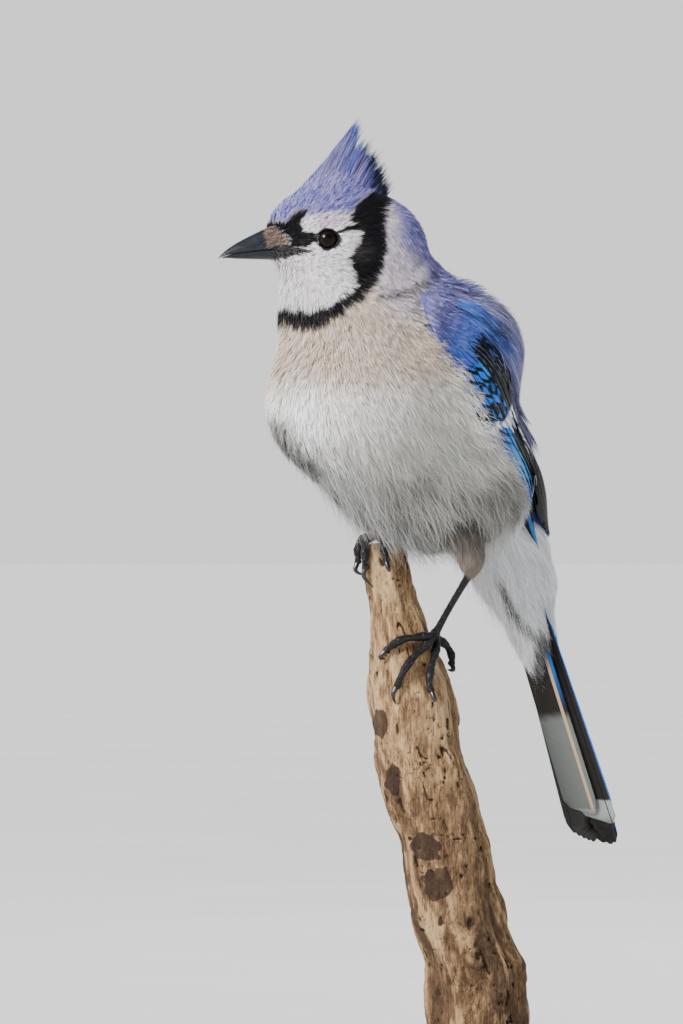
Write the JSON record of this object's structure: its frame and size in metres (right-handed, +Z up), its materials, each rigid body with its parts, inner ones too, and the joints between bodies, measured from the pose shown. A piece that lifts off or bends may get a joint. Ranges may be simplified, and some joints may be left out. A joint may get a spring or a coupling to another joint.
{
  "type": "perched blue jay",
  "caption": "Life-size still model of a blue jay with raised crest, gripping a cut length of dead branch on a plain round display stand.",
  "frame": {"origin": "Centre of the underside of the stand's round base, on the floor.", "axes": "+Z is up. -Y points towards the viewer of the picture. +X points to the viewer's right, and the bird's bill points to -X."},
  "size_m": [0.1487, 0.124, 0.3471],
  "materials": {
    "breast_feathers": "soft feathers",
    "blue_feathers": "soft feathers",
    "wing_feathers": "smooth feathers with a faint sheen",
    "thigh_feathers": "soft feathers",
    "horn": "polished horn",
    "claw": "polished horn",
    "eye": "wet and glossy",
    "leg_scales": "dry scales",
    "dead_wood": "weathered, bare and grey-tan",
    "stand_steel": "brushed",
    "stand_paint": "satin paint"
  },
  "bodies": {
    "root": {"torso": "breast_feathers", "rump": "blue_feathers", "neck": "breast_feathers", "undertail_coverts": "breast_feathers", "tail": "wing_feathers", "wing_left": "wing_feathers", "wing_right": "wing_feathers", "head": "blue_feathers", "bill_upper": "horn", "bill_lower": "horn", "eye_left": "eye", "eye_right": "eye", "thigh_left": "thigh_feathers", "leg_left": "leg_scales", "claw_left_inner": "claw", "claw_left_middle": "claw", "claw_left_outer": "claw", "claw_left_hind": "claw", "leg_right": "leg_scales", "claw_right_inner": "claw", "claw_right_middle": "claw", "claw_right_outer": "claw", "claw_right_hind": "claw", "perch_branch": "dead_wood", "stand_rod_1": "stand_steel", "stand_rod_2": "stand_steel", "stand_base": "stand_paint"}
  },
  "joints": []
}
